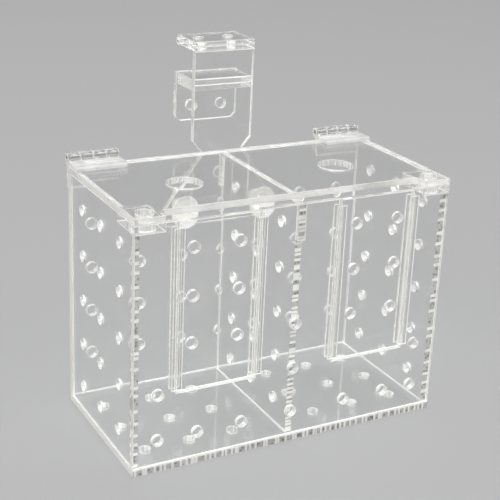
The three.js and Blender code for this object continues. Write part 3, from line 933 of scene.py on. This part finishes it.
# Operators
class BREEDINGBOX_OT_walls(bpy.types.Operator):
    """Cuts the base, the four walls, the divider and the corner blocks"""
    bl_idname = "breeding_box.walls"
    bl_label = "Walls and divider"

    def execute(self, context):
        dress_sheets(WALLS)
        return {"FINISHED"}


class BREEDINGBOX_OT_rails(bpy.types.Operator):
    """Cuts the strips that hold the doors on both faces of the front panel"""
    bl_idname = "breeding_box.rails"
    bl_label = "Door rails"

    def execute(self, context):
        dress_sheets(RAILS)
        return {"FINISHED"}


class BREEDINGBOX_OT_doors(bpy.types.Operator):
    """Cuts the two lift doors"""
    bl_idname = "breeding_box.doors"
    bl_label = "Lift doors"

    def execute(self, context):
        dress_sheets(DOORS)
        return {"FINISHED"}


class BREEDINGBOX_OT_lid(bpy.types.Operator):
    """Cuts the lid"""
    bl_idname = "breeding_box.lid"
    bl_label = "Lid"

    def execute(self, context):
        dress_sheets(LID)
        return {"FINISHED"}


class BREEDINGBOX_OT_hanger(bpy.types.Operator):
    """Cuts the upright, flange, shelf and clamp plate of the rim hanger"""
    bl_idname = "breeding_box.hanger"
    bl_label = "Rim hanger"

    def execute(self, context):
        dress_sheets(HANGER)
        return {"FINISHED"}


class BREEDINGBOX_OT_hinges(bpy.types.Operator):
    """Moulds the hinge leaves and turns their pins"""
    bl_idname = "breeding_box.hinges"
    bl_label = "Hinges"

    def execute(self, context):
        for node, body in LEAVES.items():
            self.leaf(node, body)
        for side in ("left", "right"):
            self.pin(f"hinge_{side}_pin")
        return {"FINISHED"}

    def leaf(self, node, body):
        """One leaf: its plate and its two knuckles, joined into one closed mesh.

        The pin runs along X, so its axis is a place in Y and Z.
        """
        on_lid = body == "lid"
        pin = self.pin_of(node)
        axis = middle_of(pin)[1:]
        radius = span(node, Z)[1] - axis[1]
        profiles = self.lid_profiles if on_lid else self.back_profiles
        outline, knuckle = profiles(node, axis, radius)
        left, right = span(node, X)
        moulded = (moulded_sizes().hinge_round, LEAF_INSET)
        parts = [cut_from_sheet(node + "_plate", [outline], X, left, right, *moulded)]
        step = (right - left) / KNUCKLES
        pin_low, pin_high = span(pin, Z)
        bore = round_loop(axis, (pin_high - pin_low) / 2 + BORE_CLEARANCE, ROUND_STEPS)
        for i in range(1 if on_lid else 0, KNUCKLES, 2):
            start, end = left + i * step + KNUCKLE_GAP, left + (i + 1) * step - KNUCKLE_GAP
            knuckle_name = f"{node}_knuckle_{i}"
            parts.append(cut_from_sheet(knuckle_name, [knuckle, bore], X, start, end, *moulded))
        for part in parts:
            self.paint(part, on_lid)
        piece = link_object(node + "_moulded", parts[0])
        for part in parts[1:]:
            self.join(piece, part)
        piece.data.name = piece.name
        close_up(piece.data)
        shade(piece.data, MOULDED_CREASE)
        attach(piece, body)
        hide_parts(node)

    def join(self, piece, part):
        """Makes a part one with a piece."""
        other = link_object(part.name, part)
        union = piece.modifiers.new("join", "BOOLEAN")
        union.operation, union.solver, union.object = "UNION", "EXACT", other
        joined = mesh_as_shown(piece)
        piece.modifiers.clear()
        piece.data = joined
        bpy.data.objects.remove(other)

    def pin_of(self, node):
        side = "left" if "left" in node else "right"
        return f"hinge_{side}_pin"

    def lid_profiles(self, node, axis, radius):
        """The plate that lies on the lid, and a knuckle that reaches back and up from it round the pin."""
        front = span(node, Y)[0]
        base, rear = span("lid_panel", Z)[1], span("lid_panel", Y)[1]
        top = base + LEAF_PLATE
        plate = [(front, base), (rear, base), (rear, top)]
        for groove in (rear - distance for distance in GROOVES_FROM_REAR):
            plate += [
                (groove + GROOVE_HALF_WIDTH, top), (groove, top - GROOVE_DEPTH),
                (groove - GROOVE_HALF_WIDTH, top)]
        plate += [(front + LEAF_CHAMFER, top), (front, top - LEAF_CHAMFER)]
        knuckle = [(rear - LID_ROOT, base + KNUCKLE_SUNK), (rear - KNUCKLE_SHY, base + KNUCKLE_SUNK)]
        knuckle += arc(axis, radius, map(math.radians, LID_KNUCKLE_ARC))
        return plate, knuckle + [(rear - KNUCKLE_SUNK, top - KNUCKLE_SUNK)]

    def back_profiles(self, node, axis, radius):
        """The plate on the back panel, and a knuckle that rises from it round the pin."""
        face, base = span(node, Y)[0], span(node, Z)[0]
        top, rear = span("lid_panel", Z)[1] - BACK_LEAF_DROP, face + LEAF_PLATE
        plate = [
            (face, base), (rear - LEAF_CHAMFER, base), (rear, base + LEAF_CHAMFER), (rear, top), (face, top)]
        knuckle = [
            (face + KNUCKLE_SUNK, top - BACK_ROOT), (rear - KNUCKLE_SHY, top - BACK_ROOT),
            (rear - KNUCKLE_SHY, top - KNUCKLE_SUNK)]
        knuckle += arc(axis, radius, map(math.radians, BACK_KNUCKLE_ARC))
        return plate, knuckle + [(face + KNUCKLE_SUNK, top)]

    def paint(self, mesh, on_lid):
        """White plastic on the lid, clear plastic behind and in the knuckles, satin on rounded edges."""
        mesh.materials.clear()
        plate = hinge_material("hinge_white_plate", clearness=0.25, passed=BEHIND_FROST)
        barrel = hinge_material("hinge_clear_barrel", clearness=0.86, passed=BEHIND_EDGE)
        for material in (polished_face(), plate, barrel, satin_edge()):
            mesh.materials.append(material)
        for face in mesh.polygons:
            tilt = abs(face.normal[X])
            if "knuckle" in mesh.name:
                face.material_index = ROUNDED_EDGE if tilt > LEANING else BARREL
            elif LEANING < tilt < FLAT:
                face.material_index = ROUNDED_EDGE
            elif on_lid:
                face.material_index = WHITE_PLATE
            else:
                broad = abs(face.normal[Y]) > NEARLY_FLAT
                face.material_index = CLEAR_PLATE if broad else ROUNDED_EDGE

    def pin(self, node):
        """One pin, with domed ends."""
        left, right = span(node, X)
        bottom, top = span(node, Z)
        radius, length = (top - bottom) / 2, right - left
        dome = moulded_sizes().pin_dome
        shoulder, rise = radius * DOME_SHOULDER_SHARES[0], dome * DOME_SHOULDER_SHARES[1]
        profile = [
            (0.0, 0.0), (shoulder, rise), (radius, dome),
            (radius, length - dome), (shoulder, length - rise), (0.0, length)]
        start = Vector(middle_of(node))
        start[X] = left
        mesh = turned(node + "_turned", profile, ROUND_STEPS, start, X)
        mesh.materials.append(pin_material())
        piece = link_object(node + "_turned", mesh)
        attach(piece, "box")
        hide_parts(node)


class BREEDINGBOX_OT_cups(bpy.types.Operator):
    """Moulds the two silicone suction cups"""
    bl_idname = "breeding_box.cups"
    bl_label = "Suction cups"

    def execute(self, context):
        for side in ("left", "right"):
            self.cup(f"suction_cup_{side}")
        return {"FINISHED"}

    def cup(self, node):
        """One cup, with its lip towards the front."""
        left, right = span(node, X)
        radius = (right - left) / 2
        points = CUP_HOLLOW + CUP_LIP + CUP_BACK + CUP_NECK + CUP_HEAD
        profile = [(r * MM, y * MM) for r, y in points]
        reach = max(r for r, _ in profile)
        profile = [(r * radius / reach * CUP_FIT, y) for r, y in profile]
        start = Vector(middle_of(node))
        start[Y] = span(node, Y)[0]
        mesh = turned(node + "_moulded", profile, moulded_sizes().cup_segments, start, Y)
        mesh.materials.append(silicone_material())
        piece = link_object(node + "_moulded", mesh)
        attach(piece, "box")
        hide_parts(node)


class BREEDINGBOX_OT_stage(bpy.types.Operator):
    """Sets the pale floor, the soft lamps and the camera"""
    bl_idname = "breeding_box.stage"
    bl_label = "Stage"

    def execute(self, context):
        self.floor()
        for name, settings in LAMPS.items():
            self.lamp(name, *settings)
        self.world()
        self.camera()
        scene = context.scene
        scene.view_settings.view_transform = "Standard"
        for name, most in BOUNCES.items():
            setattr(scene.cycles, name, most)
        return {"FINISHED"}

    def floor(self):
        """A round floor that sweeps up all round into a backdrop."""
        under = -FLOOR_DROP
        profile = [(0.0, under), (FLOOR_FLAT, under)]
        for i in range(1, FLOOR_BEND_STEPS + 1):
            t = math.pi / 2 * i / FLOOR_BEND_STEPS
            rise = under + FLOOR_BEND - FLOOR_BEND * math.cos(t)
            profile.append((FLOOR_FLAT + FLOOR_BEND * math.sin(t), rise))
        profile.append((FLOOR_FLAT + FLOOR_BEND, FLOOR_RIM))
        mesh = turned("floor", profile, FLOOR_SEGMENTS, Vector((0.0, 0.0, 0.0)), Z)
        mesh.flip_normals()
        mesh.shade_smooth()
        mesh.materials.append(floor_material())
        link_object("floor", mesh)

    def lamp(self, name, place, target, size, power):
        lamp = bpy.data.lights.new(name, "AREA")
        lamp.shape = "RECTANGLE"
        lamp.size, lamp.size_y = size
        lamp.energy = power
        made = link_object(name, lamp)
        made.location = place
        made.rotation_euler = (Vector(target) - Vector(place)).to_track_quat("-Z", "Y").to_euler()

    def world(self):
        world = bpy.data.worlds.new("studio")
        world.use_nodes = True
        fill(world.node_tree.nodes["Background"], Color=(1.0, 1.0, 1.0, 1.0), Strength=WORLD_LIGHT)
        bpy.context.scene.world = world

    def camera(self):
        azimuth, elevation, roll = (math.radians(angle) for angle in VIEW_ANGLES)
        back = Vector((
            math.sin(azimuth) * math.cos(elevation), -math.cos(azimuth) * math.cos(elevation),
            math.sin(elevation)))
        forward = -back
        level = forward.cross(Vector((0, 0, 1))).normalized()
        above = level.cross(forward)
        right = level * math.cos(roll) + above * math.sin(roll)
        up = above * math.cos(roll) - level * math.sin(roll)
        camera = bpy.data.cameras.new("camera")
        camera.lens, camera.sensor_width = LENS, SENSOR
        camera.shift_x, camera.shift_y = SHIFT
        camera.clip_start, camera.clip_end = CLIP
        made = link_object("camera", camera)
        turn = Matrix((right, up, back)).transposed()
        made.matrix_world = Matrix.Translation(Vector(EYE)) @ turn.to_4x4()
        bpy.context.scene.camera = made


class BREEDINGBOX_PT_panel(bpy.types.Panel):
    """Lists the sizes, the finishes and the groups of pieces"""
    bl_idname = "BREEDINGBOX_PT_panel"
    bl_label = "Breeding Box"
    bl_space_type = "VIEW_3D"
    bl_region_type = "UI"
    bl_category = "Breeding Box"

    def draw(self, context):
        layout = self.layout
        for settings in (sheet_sizes(), moulded_sizes(), finishes()):
            for name in settings.bl_rna.properties.keys():
                if name not in ("rna_type", "name"):
                    layout.prop(settings, name)
        for operator in OPERATORS:
            layout.operator(operator.bl_idname)


OPERATORS = (
    BREEDINGBOX_OT_walls,
    BREEDINGBOX_OT_rails,
    BREEDINGBOX_OT_doors,
    BREEDINGBOX_OT_lid,
    BREEDINGBOX_OT_hinges,
    BREEDINGBOX_OT_hanger,
    BREEDINGBOX_OT_cups,
    BREEDINGBOX_OT_stage,
)
SETTINGS = {
    "breeding_box_sheet": SheetSizes,
    "breeding_box_moulded": MouldedSizes,
    "breeding_box_finishes": Finishes,
}


def register():
    for made in (*SETTINGS.values(), *OPERATORS, BREEDINGBOX_PT_panel):
        bpy.utils.register_class(made)
    for name, group in SETTINGS.items():
        setattr(bpy.types.Scene, name, PointerProperty(type=group))


def unregister():
    for name in SETTINGS:
        delattr(bpy.types.Scene, name)
    for made in reversed((*SETTINGS.values(), *OPERATORS, BREEDINGBOX_PT_panel)):
        bpy.utils.unregister_class(made)


def main():
    register()
    bpy.ops.breeding_box.walls()
    bpy.ops.breeding_box.rails()
    bpy.ops.breeding_box.doors()
    bpy.ops.breeding_box.lid()
    bpy.ops.breeding_box.hinges()
    bpy.ops.breeding_box.hanger()
    bpy.ops.breeding_box.cups()
    bpy.ops.breeding_box.stage()


if __name__ == "__main__":
    main()
